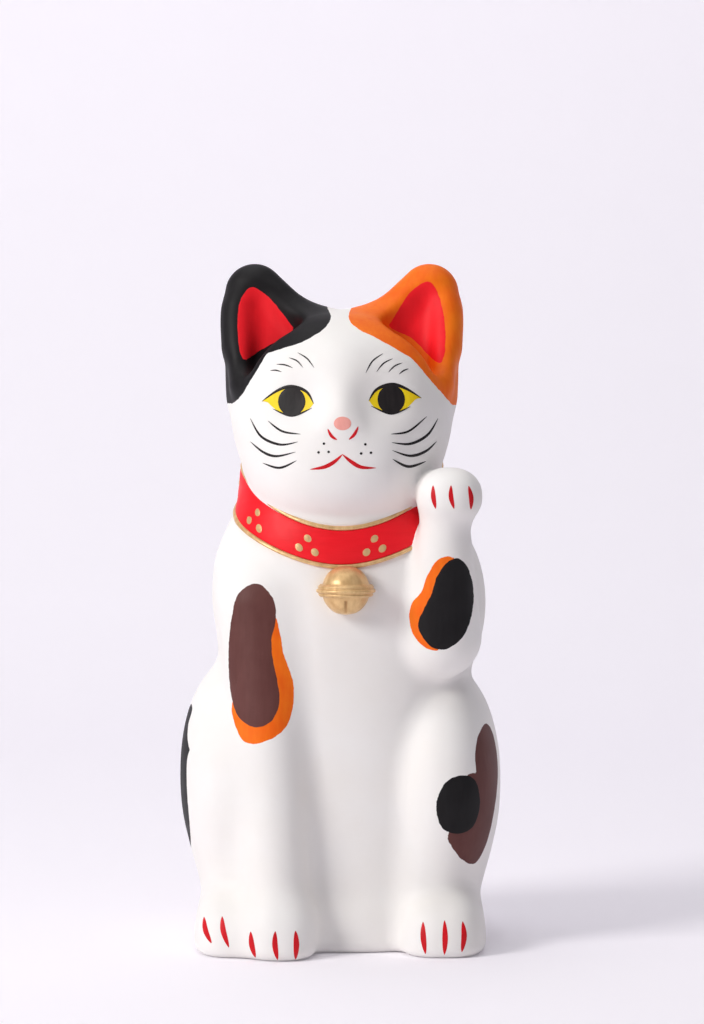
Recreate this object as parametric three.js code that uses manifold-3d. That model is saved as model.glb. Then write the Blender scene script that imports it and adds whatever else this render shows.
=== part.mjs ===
// Beckoning cat: a hollow fired-clay figure that doubles as a coin bank.
// Millimetres, +Z up. The cat faces -Y and raises its left foreleg, which is on the +X side.
// The origin is the centre of the footprint, on the surface the figure stands on.
//
// The clay body was made in two halves that meet on a vertical seam behind the ears' tips.
// The raised foreleg, the collar, the bell and the tail are separate pieces of clay laid on
// the outside of it, and a clay slab closes the base around a soft pull-out stopper.

import * as THREE from 'three';
import { mergeVertices } from 'three/addons/utils/BufferGeometryUtils.js';
import Module from 'manifold-3d';

const wasm = await Module();
wasm.setup();

// ---------------------------------------------------------------- driving dimensions

const WALL = 5.5; // thickness of the clay shell
const GAP = 0.3; // joint line between touching pieces
const SEAM_Y = -4; // plane where the two halves of the body meet

const BODY_CELL = 8.6; // spacing of the surface grid on the body
const CAVITY_CELL = 11.6; // spacing of the surface grid on the hollow inside
const LIMB_CELL = 5.5; // spacing of the surface grid on the applied limbs

// Torso from foot to neck: half width, foremost y and rearmost y at each height.
const TORSO = [
  { z: -20, half: 56, front: -44, back: 58 },
  { z: 0, half: 57, front: -44, back: 58 },
  { z: 14, half: 57, front: -43.5, back: 58 },
  { z: 28, half: 57, front: -40.5, back: 57 },
  { z: 70, half: 55, front: -42, back: 55 },
  { z: 110, half: 54, front: -45, back: 49 },
  { z: 135, half: 55.5, front: -47, back: 43 },
  { z: 152, half: 57.5, front: -48, back: 38 },
  { z: 170, half: 56, front: -48, back: 34 },
  { z: 184, half: 50.8, front: -47, back: 31 },
  { z: 190, half: 47.6, front: -46, back: 30.5 },
  { z: 196, half: 44.8, front: -45, back: 30 },
  { z: 210, half: 43.5, front: -39, back: 31 },
  { z: 235, half: 40, front: -30, back: 33 },
];

const SLAB_LOW = 4; // underside of the closing slab, above the standing rim
const SLAB_THICKNESS = 5;
const HOLE_RADIUS = 16; // hole in the slab for emptying the bank
const ROUND_STEPS = 32; // flats around each turned piece

const SLOT_WIDTH = 37; // coin slot in the upper back
const SLOT_HEIGHT = 5;
const SLOT_Z = 178;

const COLLAR_HALF = 9.2; // half height of the collar band
const COLLAR_PROUD = 1.6; // how far the band stands off the neck
const COLLAR_FRONT_Z = 176.5; // height of the band's middle under the chin
const COLLAR_RISE = 25.5; // how much higher it runs at the sides of the neck
const COLLAR_STEPS = 44;

const BELL_CENTRE = [1.8, -51.5, 158.2];
const BELL_RADIUS = 10.2; // of the domes
const BELL_RING = 12.8; // of the belt between them
const BELL_HALF = 10.4; // half height

// ---------------------------------------------------------------- solid fields
// A field is a function of a point that is negative inside the shape and grows by about
// one for each millimetre away from it.

function smoothMin(a, b, k) {
  const h = Math.max(k - Math.abs(a - b), 0) / k;
  return Math.min(a, b) - h * h * k / 4;
}

function smoothMax(a, b, k) {
  return -smoothMin(-a, -b, k);
}

// Ellipsoid with semi-axes `radii`; a power above 2 makes it squarer.
function ellipsoid(p, centre, radii, power = 2) {
  const q = radii.map((r, i) => Math.abs(p[i] - centre[i]) / r);
  const level = Math.max(q.reduce((sum, v) => sum + v ** power, 0) ** (1 / power), 1e-6);
  const slope = Math.hypot(...q.map((v, i) => (v / level) ** (power - 1) / radii[i]));
  return (level - 1) / Math.max(slope, 1e-6);
}

// Smooth step from 0 to 1 as t goes from 0 to 1.
function ease(t) {
  const s = Math.min(Math.max(t, 0), 1);
  return s * s * (3 - 2 * s);
}

// Cone from a to b that runs smoothly into a ball at each end.
function limb(p, a, b, radiusA, radiusB) {
  const along = b.map((v, i) => v - a[i]);
  const length2 = along.reduce((sum, v) => sum + v * v, 0);
  const taper = radiusA - radiusB;
  const slant2 = length2 - taper * taper;
  const reach = along.reduce((sum, v, i) => sum + v * (p[i] - a[i]), 0);
  const beyond = reach - length2;
  const off2 = along.reduce((sum, v, i) => sum + ((p[i] - a[i]) * length2 - v * reach) ** 2, 0);
  const reach2 = reach * reach * length2;
  const beyond2 = beyond * beyond * length2;
  const side = Math.sign(taper) * taper * taper * off2;
  if (Math.sign(beyond) * slant2 * beyond2 > side) return Math.sqrt(off2 + beyond2) / length2 - radiusB;
  if (Math.sign(reach) * slant2 * reach2 < side) return Math.sqrt(off2 + reach2) / length2 - radiusA;
  return (Math.sqrt(off2 * slant2 / length2) + reach * taper) / length2 - radiusA;
}

// Distance to a flat triangle.
const triangle = new THREE.Triangle();
const probe = new THREE.Vector3();
const nearest = new THREE.Vector3();
function plate(p, a, b, c) {
  triangle.a.set(...a);
  triangle.b.set(...b);
  triangle.c.set(...c);
  triangle.closestPointToPoint(probe.set(...p), nearest);
  return nearest.distanceTo(probe);
}

// Smooth value between the torso's stations at height z.
function station(z, key) {
  const last = TORSO.length - 1;
  const height = Math.min(Math.max(z, TORSO[0].z), TORSO[last].z);
  let i = 0;
  while (i < last - 1 && height > TORSO[i + 1].z) i += 1;
  const slope = (n) => {
    const below = TORSO[Math.max(n - 1, 0)];
    const above = TORSO[Math.min(n + 1, last)];
    return (above[key] - below[key]) / (above.z - below.z);
  };
  const span = TORSO[i + 1].z - TORSO[i].z;
  const t = (height - TORSO[i].z) / span;
  return (2 * t ** 3 - 3 * t ** 2 + 1) * TORSO[i][key]
    + (t ** 3 - 2 * t ** 2 + t) * span * slope(i)
    + (3 * t ** 2 - 2 * t ** 3) * TORSO[i + 1][key]
    + (t ** 3 - t ** 2) * span * slope(i + 1);
}

function torso(p) {
  const half = station(p[2], 'half');
  const front = station(p[2], 'front');
  const back = station(p[2], 'back');
  const section = ellipsoid(
    [p[0], p[1], 0],
    [0, (front + back) / 2, 0],
    [half, (back - front) / 2, 1000],
    2.3 - 0.3 * ease((p[2] - 140) / 50), // the neck is rounder than the hips
  );
  return smoothMax(section, p[2] - TORSO[TORSO.length - 1].z, 10);
}

const mirrored = (p, side) => [p[0] * side, p[1], p[2]];

function ear(p) {
  const taper = ease((280 - p[2]) / 32);
  const thinned = [p[0], p[1] * 1.3, p[2]];
  const blade = plate(thinned, [38.5, -9, 287], [42, -20, 262], [19, -17, 268.5]) - 13 + 4.5 * taper;
  const root = limb(p, [42, -7, 266], [41, -12, 244], 10, 6.5);
  return smoothMin(blade, root, 4);
}

// Outer edge of the ear, running down onto the cheek.
function earRim(p) {
  return limb(p, [45, -13, 280], [43.8, -27.5, 248], 4.5, 3.5);
}

function earBowl(p) {
  return plate(p, [38, -24.5, 281], [41, -29, 259], [26, -27.5, 268]) - 9.5;
}

function head(p) {
  const skull = ellipsoid(p, [0, -12, 240], [48.5, 46, 39.5], 2.3);
  const jaw = ellipsoid(p, [0, -17, 219.5], [43, 42, 41], 2.2);
  let d = smoothMin(skull, jaw, 12);
  for (const side of [-1, 1]) d = smoothMin(d, ear(mirrored(p, side)), 12);
  for (const side of [-1, 1]) {
    d = smoothMax(d, -earBowl(mirrored(p, side)), 6);
    d = smoothMin(d, earRim(mirrored(p, side)), 8);
  }
  const bridge = limb(p, [0, -48, 252], [0, -55.5, 236], 5, 6);
  const muzzle = ellipsoid(p, [0, -50, 214], [21, 10.5, 14]);
  const nose = ellipsoid(p, [0, -58.5, 231], [7, 4, 5.5]);
  d = smoothMin(smoothMin(smoothMin(d, bridge, 15), muzzle, 14), nose, 7);
  for (const side of [-1, 1]) {
    const socket = ellipsoid(mirrored(p, side), [22.5, -71, 242], [13, 11, 9]);
    d = smoothMax(d, -socket, 13);
  }
  return d;
}

// One folded hind leg: the haunch, the heel under it and the paw in front.
function hindLeg(p, x, haunchZ, depth) {
  const haunch = ellipsoid(p, [x, 2, haunchZ], [26, depth, 51], 2.15);
  const heel = ellipsoid(p, [x - 6.5, 6, 24], [23, 48, 40], 2.5);
  const paw = ellipsoid(p, [x - 1, -28, 4], [19.5, 30, 23], 2.7);
  return smoothMin(smoothMin(haunch, heel, 10), paw, 7);
}

// The straight right foreleg that the cat stands on.
function standingForeleg(p) {
  const leg = limb(p, [-35.5, -30, 150], [-27.5, -46.5, 20], 18, 13);
  const paw = ellipsoid(p, [-26.5, -47, 6], [16, 20, 18], 2.4);
  return smoothMin(leg, paw, 12);
}

// The moulded body, running on below the floor so that it can be cut off flat.
function body(p) {
  const rightHind = hindLeg(mirrored(p, -1), 46, 74, 50);
  const leftHind = hindLeg(p, 44.5, 71, 53);
  const shoulder = ellipsoid(p, [42, -6, 150], [21.5, 24, 36]);
  let d = smoothMin(torso(p), Math.min(rightHind, leftHind), 7);
  d = smoothMin(d, standingForeleg(p), 9);
  d = smoothMin(d, shoulder, 8);
  return smoothMin(d, head(p), 4);
}

function raisedForeleg(p) {
  const forearm = limb(p, [42, -31, 137.5], [44.5, -43.5, 184], 19, 11);
  const paw = ellipsoid(p, [46.3, -46, 198.5], [14.3, 14, 12.5], 2.2);
  return smoothMin(forearm, paw, 6);
}

function tail(p) {
  const root = limb(p, [13, 53, 24], [47, 47, 55], 12, 10.5);
  const tip = limb(p, [47, 47, 55], [61, 32, 82], 10.5, 7.5);
  return smoothMin(root, tip, 8);
}

// ---------------------------------------------------------------- fields into meshes

function slopeOf(field, p) {
  const step = 0.05;
  const here = field(p);
  return p.map((_, axis) => {
    const q = [...p];
    q[axis] += step;
    return (field(q) - here) / step;
  });
}

// Moves a point onto the surface where the field equals zero.
function settle(field, p, reach) {
  let q = p;
  for (let round = 0; round < 3; round += 1) {
    const value = field(q);
    const slope = slopeOf(field, q);
    const steep = Math.max(slope.reduce((sum, v) => sum + v * v, 0), 0.05);
    const shift = slope.map((v) => -value * v / steep);
    const limit = Math.min(1, reach / Math.max(Math.hypot(...shift), 1e-9));
    q = q.map((v, axis) => v + shift[axis] * limit);
  }
  return q;
}

// Closed quad surface of a field over a box of cubic cells: one vertex in every cell that
// the surface passes through, and one quad around every grid edge that it crosses.
function skin(field, low, high, cell) {
  const count = low.map((v, axis) => Math.ceil((high[axis] - v) / cell) + 1);
  const at = (node) => node.map((v, axis) => low[axis] + v * cell);
  const key = (node) => (node[0] * count[1] + node[1]) * count[2] + node[2];
  const value = new Float64Array(count[0] * count[1] * count[2]);
  for (let i = 0; i < count[0]; i += 1) {
    for (let j = 0; j < count[1]; j += 1) {
      for (let k = 0; k < count[2]; k += 1) value[key([i, j, k])] = field(at([i, j, k]));
    }
  }
  const vertices = [];
  const vertexOfCell = new Map();
  const quads = [];
  const vertexIn = (node) => {
    const id = key(node);
    if (vertexOfCell.has(id)) return vertexOfCell.get(id);
    const sum = [0, 0, 0];
    let crossings = 0;
    for (let axis = 0; axis < 3; axis += 1) {
      for (let corner = 0; corner < 4; corner += 1) {
        const start = [...node];
        start[(axis + 1) % 3] += corner & 1;
        start[(axis + 2) % 3] += corner >> 1;
        const end = [...start];
        end[axis] += 1;
        const a = value[key(start)];
        const b = value[key(end)];
        if (a < 0 === b < 0) continue;
        const point = at(start);
        point[axis] += cell * a / (a - b);
        point.forEach((v, n) => { sum[n] += v; });
        crossings += 1;
      }
    }
    vertices.push(settle(field, sum.map((v) => v / crossings), cell / 2));
    vertexOfCell.set(id, vertices.length - 1);
    return vertices.length - 1;
  };
  for (let axis = 0; axis < 3; axis += 1) {
    const u = (axis + 1) % 3;
    const v = (axis + 2) % 3;
    for (let i = 1; i < count[0] - 1; i += 1) {
      for (let j = 1; j < count[1] - 1; j += 1) {
        for (let k = 1; k < count[2] - 1; k += 1) {
          const node = [i, j, k];
          const next = [...node];
          next[axis] += 1;
          const inside = value[key(node)] < 0;
          if (inside === value[key(next)] < 0) continue;
          const quad = [[1, 1], [0, 1], [0, 0], [1, 0]].map(([du, dv]) => {
            const around = [...node];
            around[u] -= du;
            around[v] -= dv;
            return vertexIn(around);
          });
          quads.push(inside ? quad : quad.reverse());
        }
      }
    }
  }
  return { field, vertices, triangles: quads.flatMap((quad) => split(quad, vertices)) };
}

// Cuts a quad along its shorter diagonal.
function split([a, b, c, d], vertices) {
  const apart = (m, n) => Math.hypot(...vertices[m].map((v, axis) => v - vertices[n][axis]));
  return apart(a, c) < apart(b, d) ? [[a, b, c], [a, c, d]] : [[a, b, d], [b, c, d]];
}

// The same surface moved outwards by `distance`.
function grown(surface, distance) {
  const vertices = surface.vertices.map((p) => {
    const slope = slopeOf(surface.field, p);
    const length = Math.max(Math.hypot(...slope), 1e-6);
    return p.map((v, axis) => v + distance * slope[axis] / length);
  });
  return { ...surface, vertices };
}

// ---------------------------------------------------------------- solids to join and cut

function solid({ vertices, triangles }) {
  const whole = triangles.filter(([a, b, c]) => a !== b && b !== c && c !== a);
  return new wasm.Manifold(new wasm.Mesh({
    numProp: 3,
    vertProperties: new Float32Array(vertices.flat()),
    triVerts: new Uint32Array(whole.flat()),
  }));
}

function solidOf(geometry) {
  const bare = geometry.clone();
  bare.deleteAttribute('normal');
  bare.deleteAttribute('uv');
  const merged = mergeVertices(bare, 1e-4);
  const position = merged.getAttribute('position');
  const vertices = [];
  for (let i = 0; i < position.count; i += 1) {
    vertices.push([position.getX(i), position.getY(i), position.getZ(i)]);
  }
  const index = [...merged.getIndex().array];
  const triangles = [];
  for (let i = 0; i < index.length; i += 3) triangles.push(index.slice(i, i + 3));
  return solid({ vertices, triangles });
}

function box(low, high) {
  const size = high.map((v, axis) => v - low[axis]);
  const geometry = new THREE.BoxGeometry(...size);
  geometry.translate(...low.map((v, axis) => v + size[axis] / 2));
  return solidOf(geometry);
}

// Turned solid about +Z; the outline runs up the outside as [radius, height] pairs.
function turned(outline, steps = ROUND_STEPS) {
  const points = outline.map(([radius, height]) => new THREE.Vector2(radius, height));
  return solidOf(new THREE.LatheGeometry(points, steps).rotateX(Math.PI / 2));
}

function meshOf(name, shape, colour, roughness, metalness = 0) {
  const { vertProperties, triVerts } = shape.getMesh();
  const geometry = new THREE.BufferGeometry();
  geometry.setAttribute('position', new THREE.BufferAttribute(vertProperties, 3));
  geometry.setIndex(new THREE.BufferAttribute(triVerts, 1));
  geometry.computeVertexNormals();
  const material = new THREE.MeshStandardMaterial({ color: colour, roughness, metalness });
  const mesh = new THREE.Mesh(geometry, material);
  mesh.name = name;
  return mesh;
}

// ---------------------------------------------------------------- surfaces of the figure

const REACH = 90; // half of a box that holds any section of the figure
const BELOW = -9; // where the surfaces end under the floor
const LOW = [-REACH, -REACH, BELOW - CAVITY_CELL];
const HIGH = [REACH, REACH, 312];
const FAR = 400;

const endingBelow = (field) => (p) => Math.max(field(p), BELOW - p[2]);
const outside = skin(endingBelow(body), LOW, HIGH, BODY_CELL);
const hollow = skin(endingBelow((p) => body(p) + WALL), LOW, HIGH, CAVITY_CELL);
const clearOfBody = solid(grown(outside, GAP));

// ---------------------------------------------------------------- the two body halves

function bodyShell() {
  const aboveFloor = box([-FAR, -FAR, 0], [FAR, FAR, FAR]);
  return solid(outside).intersect(aboveFloor).subtract(solid(hollow));
}

function frontShell() {
  return bodyShell().intersect(box([-FAR, -FAR, -FAR], [FAR, SEAM_Y - GAP / 2, FAR]));
}

function rearShell() {
  const slot = box(
    [-SLOT_WIDTH / 2, 10, SLOT_Z - SLOT_HEIGHT / 2],
    [SLOT_WIDTH / 2, 60, SLOT_Z + SLOT_HEIGHT / 2],
  );
  return bodyShell().intersect(box([-FAR, SEAM_Y + GAP / 2, -FAR], [FAR, FAR, FAR])).subtract(slot);
}

// ---------------------------------------------------------------- pieces laid on the body

const forelegSurface = skin(raisedForeleg, [10, -80, 100], [80, 10, 230], LIMB_CELL);

function forelegPiece() {
  return solid(forelegSurface).subtract(clearOfBody);
}

function tailPiece() {
  return solid(skin(tail, [-15, 10, 0], [85, 85, 105], LIMB_CELL)).subtract(clearOfBody);
}

// Point at a bearing and radius from the neck's axis, `lift` above the band's middle. The
// band hangs low in front and rises behind.
function neckPoint(bearing, radius, lift) {
  const hang = 0.7 * (1 - Math.cos(bearing)) + 0.3 * Math.sin(bearing) ** 2;
  const height = COLLAR_FRONT_Z + COLLAR_RISE * hang + lift;
  return [radius * Math.sin(bearing), -8 - radius * Math.cos(bearing), height];
}

// Radius at which the neck's surface lies, found by halving.
function neckRadius(bearing, lift) {
  let inner = 5;
  let outer = 90;
  for (let round = 0; round < 30; round += 1) {
    const middle = (inner + outer) / 2;
    if (torso(neckPoint(bearing, middle, lift)) < 0) inner = middle;
    else outer = middle;
  }
  return inner;
}

// Closed band around the neck, `extra` larger than the collar on its outer faces.
function collarBand(extra) {
  const half = COLLAR_HALF + extra;
  const proud = COLLAR_PROUD + extra;
  const section = [[-3, -half], [proud - 0.6, -half], [proud, -half + 1.2],
    [proud, half - 1.2], [proud - 0.6, half], [-3, half]];
  const vertices = [];
  const triangles = [];
  for (let step = 0; step < COLLAR_STEPS; step += 1) {
    const bearing = 2 * Math.PI * step / COLLAR_STEPS;
    const base = step * section.length;
    const nextBase = ((step + 1) % COLLAR_STEPS) * section.length;
    section.forEach(([out, lift], i) => {
      const j = (i + 1) % section.length;
      vertices.push(neckPoint(bearing, neckRadius(bearing, lift) + out, lift));
      triangles.push([base + i, nextBase + i, nextBase + j], [base + i, nextBase + j, base + j]);
    });
  }
  return solid({ vertices, triangles });
}

function collarPiece() {
  return collarBand(0).subtract(clearOfBody).subtract(solid(grown(forelegSurface, GAP)));
}

// Round bell: two domes that flare into a belt, with an upright slit in the lower one.
function bellPiece() {
  const dome = (side) => [0, 22, 44, 66].map((degrees) => {
    const angle = degrees * Math.PI / 180;
    return [BELL_RADIUS * Math.sin(angle), side * BELL_HALF * Math.cos(angle)];
  });
  const outline = [
    ...dome(-1),
    [BELL_RADIUS, -2.6],
    [BELL_RING, -0.6],
    [BELL_RING, 0.6],
    [BELL_RADIUS, 2.6],
    ...dome(1).reverse(),
  ];
  const slit = box([-0.7, -20, -BELL_HALF - 1], [0.7, -6, -3]);
  const whole = turned(outline, 28).subtract(slit).translate(BELL_CENTRE);
  return whole.subtract(clearOfBody).subtract(collarBand(GAP));
}

// ---------------------------------------------------------------- closing the base

function baseSlab() {
  const slabTop = SLAB_LOW + SLAB_THICKNESS;
  const hole = turned([[0, -5], [HOLE_RADIUS, -5], [HOLE_RADIUS, 30], [0, 30]]);
  return solid(grown(hollow, -GAP))
    .intersect(box([-FAR, -FAR, SLAB_LOW], [FAR, FAR, slabTop]))
    .subtract(hole);
}

// Soft stopper: a flange under the slab, a tapered plug through its hole and a pull bar
// across the dish in its underside.
function baseStopper() {
  const plug = HOLE_RADIUS - GAP;
  const flange = HOLE_RADIUS + 3.4;
  const flangeTop = SLAB_LOW - GAP;
  const under = 1;
  const dish = under + 1.6;
  const outline = [
    [0, dish],
    [plug - 4.2, dish],
    [plug - 3.2, under],
    [flange - 0.8, under],
    [flange, under + 0.8],
    [flange, flangeTop - 0.6],
    [flange - 0.8, flangeTop],
    [plug, flangeTop],
    [plug, SLAB_LOW + SLAB_THICKNESS],
    [plug - 1.9, SLAB_LOW + SLAB_THICKNESS + 6],
    [0, SLAB_LOW + SLAB_THICKNESS + 6],
  ];
  const pullBar = box([-12.2, -1.5, under - 0.1], [12.2, 1.5, dish + 1]);
  return turned(outline).add(pullBar);
}

// ---------------------------------------------------------------- the figure

const WHITE_CLAY = '#f4f1ec';
const figure = new THREE.Group();
figure.name = 'beckoning_cat';
figure.add(
  meshOf('front_shell', frontShell(), WHITE_CLAY, 0.55),
  meshOf('rear_shell', rearShell(), WHITE_CLAY, 0.55),
  meshOf('raised_foreleg', forelegPiece(), WHITE_CLAY, 0.55),
  meshOf('collar', collarPiece(), '#c81e24', 0.5),
  meshOf('bell', bellPiece(), '#c2a468', 0.4, 0.5),
  meshOf('tail', tailPiece(), WHITE_CLAY, 0.55),
  meshOf('base_slab', baseSlab(), '#c9b49a', 0.9),
  meshOf('base_stopper', baseStopper(), '#e9e4da', 0.7),
);

export default figure;
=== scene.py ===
import math

import bpy
import numpy as np
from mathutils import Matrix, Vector


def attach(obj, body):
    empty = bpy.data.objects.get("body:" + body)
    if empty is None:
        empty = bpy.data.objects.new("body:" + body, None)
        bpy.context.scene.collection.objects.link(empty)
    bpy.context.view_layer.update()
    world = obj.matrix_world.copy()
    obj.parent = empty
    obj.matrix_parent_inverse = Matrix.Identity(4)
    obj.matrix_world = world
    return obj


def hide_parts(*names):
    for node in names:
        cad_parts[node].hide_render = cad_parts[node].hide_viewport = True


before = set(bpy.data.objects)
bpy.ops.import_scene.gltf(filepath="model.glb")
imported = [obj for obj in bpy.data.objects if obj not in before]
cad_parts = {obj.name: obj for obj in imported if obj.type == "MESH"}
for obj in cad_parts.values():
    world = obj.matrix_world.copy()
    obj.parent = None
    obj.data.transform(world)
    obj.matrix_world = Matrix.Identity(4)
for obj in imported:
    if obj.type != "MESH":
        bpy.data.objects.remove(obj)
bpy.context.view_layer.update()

# The clay shapes are worked out in millimetres, in the frame's axes, and become metres
# when their meshes are made. The cat faces -Y and raises the foreleg on its +X side.
MM = 0.001
BODY_CELL = 1.3  # spacing of the surface grid
HOLLOW_CELL = 3.5  # the same on the unseen inside
WALL = 5.5  # thickness of the clay
SEAM_Y = -4.0  # plane where the two halves of the body meet


# ------------------------------------------------------------------ fields
# A field takes the three coordinates of many points and gives a value for each that is
# negative inside the shape and grows by about one for each millimetre away from it.

def smooth_min(a, b, k):
    h = np.maximum(k - np.abs(a - b), 0) / k
    return np.minimum(a, b) - h * h * k / 4


def smooth_max(a, b, k):
    return -smooth_min(-a, -b, k)


def ellipsoid(p, centre, radii, power=2.0):
    """Ellipsoid with three semi-axes; a power above 2 makes it squarer."""
    q = [np.abs(p[i] - centre[i]) / radii[i] for i in range(3)]
    level = np.maximum(sum(v ** power for v in q) ** (1 / power), 1e-6)
    slope = np.sqrt(sum(((q[i] / level) ** (power - 1) / radii[i]) ** 2 for i in range(3)))
    return (level - 1) / np.maximum(slope, 1e-6)


def ease(t):
    """Smooth step from 0 to 1 as t goes from 0 to 1."""
    t = np.clip(t, 0, 1)
    return t * t * (3 - 2 * t)


def limb(p, a, b, radius_a, radius_b):
    """Cone from a to b that runs smoothly into a ball at each end."""
    along = np.subtract(b, a).astype(float)
    length2 = along @ along
    taper = radius_a - radius_b
    slant2 = length2 - taper * taper
    reach = sum((p[i] - a[i]) * along[i] for i in range(3))
    beyond = reach - length2
    off2 = sum(((p[i] - a[i]) * length2 - along[i] * reach) ** 2 for i in range(3))
    reach2, beyond2 = reach * reach * length2, beyond * beyond * length2
    cone = (np.sqrt(off2 * slant2 / length2) + reach * taper) / length2 - radius_a
    side = np.sign(taper) * taper * taper * off2
    at_b = np.sign(beyond) * slant2 * beyond2 > side
    at_a = np.sign(reach) * slant2 * reach2 < side
    ball_a = np.sqrt(off2 + reach2) / length2 - radius_a
    ball_b = np.sqrt(off2 + beyond2) / length2 - radius_b
    return np.where(at_b, ball_b, np.where(at_a, ball_a, cone))


def plate(p, a, b, c):
    """Distance to a flat triangle."""
    at = np.stack(p, -1)
    a, b, c = (np.array(v, float) for v in (a, b, c))
    edges = ((b - a, at - a), (c - b, at - b), (a - c, at - c))
    normal = np.cross(b - a, a - c)
    inside = sum(np.sign((np.cross(e, normal) * q).sum(-1)) for e, q in edges) >= 2
    to_edge = np.inf
    for e, q in edges:
        t = np.clip((q @ e) / (e @ e), 0, 1)
        to_edge = np.minimum(to_edge, ((e * t[..., None] - q) ** 2).sum(-1))
    to_face = (edges[0][1] @ normal) ** 2 / (normal @ normal)
    return np.sqrt(np.where(inside, to_face, to_edge))


# Torso from foot to neck: height, half width, foremost y and rearmost y.
TORSO = np.array([
    (-20, 56, -44, 58),
    (0, 57, -44, 58),
    (14, 57, -43.5, 58),
    (28, 57, -40.5, 57),
    (70, 55, -42, 55),
    (110, 54, -45, 49),
    (135, 55.5, -47, 43),
    (152, 57.5, -48, 38),
    (170, 56, -48, 34),
    (184, 50.8, -47, 31),
    (190, 47.6, -46, 30.5),
    (196, 44.8, -45, 30),
    (210, 43.5, -39, 31),
    (235, 40, -30, 33),
], float)


def station(z, column):
    """Smooth value between the torso's stations."""
    heights, values = TORSO[:, 0], TORSO[:, column]
    slope = np.empty_like(values)
    slope[1:-1] = (values[2:] - values[:-2]) / (heights[2:] - heights[:-2])
    slope[0] = (values[1] - values[0]) / (heights[1] - heights[0])
    slope[-1] = (values[-1] - values[-2]) / (heights[-1] - heights[-2])
    z = np.clip(z, heights[0], heights[-1])
    i = np.clip(np.searchsorted(heights, z) - 1, 0, len(heights) - 2)
    span = heights[i + 1] - heights[i]
    t = (z - heights[i]) / span
    return ((2 * t**3 - 3 * t**2 + 1) * values[i] + (t**3 - 2 * t**2 + t) * span * slope[i]
            + (3 * t**2 - 2 * t**3) * values[i + 1] + (t**3 - t**2) * span * slope[i + 1])


def torso(p):
    half, front, back = (station(p[2], column) for column in (1, 2, 3))
    middle, depth = (front + back) / 2, (back - front) / 2
    power = 2.3 - 0.3 * ease((p[2] - 140) / 50)
    x, y = np.abs(p[0] / half), np.abs((p[1] - middle) / depth)
    level = np.maximum((x**power + y**power) ** (1 / power), 1e-6)
    slope = np.hypot((x / level) ** (power - 1) / half, (y / level) ** (power - 1) / depth)
    return smooth_max((level - 1) / np.maximum(slope, 1e-6), p[2] - TORSO[-1, 0], 10)


def mirrored(p, side):
    return (p[0] * side, p[1], p[2])


def ear(p):
    taper = ease((280 - p[2]) / 32)
    thinned = (p[0], p[1] * 1.3, p[2])
    blade = plate(thinned, (38.5, -9, 287), (42, -20, 262), (19, -17, 268.5)) - 13 + 4.5 * taper
    root = limb(p, (42, -7, 266), (41, -12, 244), 10, 6.5)
    return smooth_min(blade, root, 4)


def ear_rim(p):
    return limb(p, (45, -13, 280), (43.8, -27.5, 248), 4.5, 3.5)


def ear_bowl(p):
    return plate(p, (38, -24.5, 281), (41, -29, 259), (26, -27.5, 268)) - 9.5


def head(p):
    skull = ellipsoid(p, (0, -12, 240), (48.5, 46, 39.5), 2.3)
    jaw = ellipsoid(p, (0, -17, 219.5), (43, 42, 41), 2.2)
    d = smooth_min(skull, jaw, 12)
    for side in (-1, 1):
        d = smooth_min(d, ear(mirrored(p, side)), 12)
    for side in (-1, 1):
        d = smooth_max(d, -ear_bowl(mirrored(p, side)), 6)
        d = smooth_min(d, ear_rim(mirrored(p, side)), 8)
    bridge = limb(p, (0, -48, 252), (0, -55.5, 236), 5, 6)
    muzzle = ellipsoid(p, (0, -50, 214), (21, 10.5, 14))
    nose = ellipsoid(p, (0, -58.5, 231), (7, 4, 5.5))
    d = smooth_min(smooth_min(smooth_min(d, bridge, 15), muzzle, 14), nose, 7)
    for side in (-1, 1):
        socket = ellipsoid(mirrored(p, side), (22.5, -71, 242), (13, 11, 9))
        d = smooth_max(d, -socket, 13)
    return d


def hind_leg(p, x, haunch_z, depth):
    haunch = ellipsoid(p, (x, 2, haunch_z), (26, depth, 51), 2.15)
    heel = ellipsoid(p, (x - 6.5, 6, 24), (23, 48, 40), 2.5)
    paw = ellipsoid(p, (x - 1, -28, 4), (19.5, 30, 23), 2.7)
    return smooth_min(smooth_min(haunch, heel, 10), paw, 7)


def standing_foreleg(p):
    leg = limb(p, (-35.5, -30, 150), (-27.5, -46.5, 20), 18, 13)
    paw = ellipsoid(p, (-26.5, -47, 6), (16, 20, 18), 2.4)
    return smooth_min(leg, paw, 12)


def body(p):
    """The moulded body, running on below the floor."""
    hind = np.minimum(hind_leg(mirrored(p, -1), 46, 74, 50), hind_leg(p, 44.5, 71, 53))
    shoulder = ellipsoid(p, (42, -6, 150), (21.5, 24, 36))
    d = smooth_min(torso(p), hind, 7)
    d = smooth_min(d, standing_foreleg(p), 9)
    d = smooth_min(d, shoulder, 8)
    return smooth_min(d, head(p), 4)


def raised_foreleg(p):
    forearm = limb(p, (42, -31, 137.5), (44.5, -43.5, 184), 19, 11)
    paw = ellipsoid(p, (46.3, -46, 198.5), (14.3, 14, 12.5), 2.2)
    return smooth_min(forearm, paw, 6)


def tail(p):
    root = limb(p, (13, 53, 24), (47, 47, 55), 12, 10.5)
    tip = limb(p, (47, 47, 55), (61, 32, 82), 10.5, 7.5)
    return smooth_min(root, tip, 8)


FOOT_ROUNDING = 5


def whole(p):
    """The figure's outer surface, with every applied clay piece blended on."""
    d = smooth_min(body(p), raised_foreleg(p), 5)
    d = smooth_min(d, tail(p), 4)
    return smooth_max(d, -p[2], FOOT_ROUNDING)


# ------------------------------------------------------------------ fields into meshes

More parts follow.
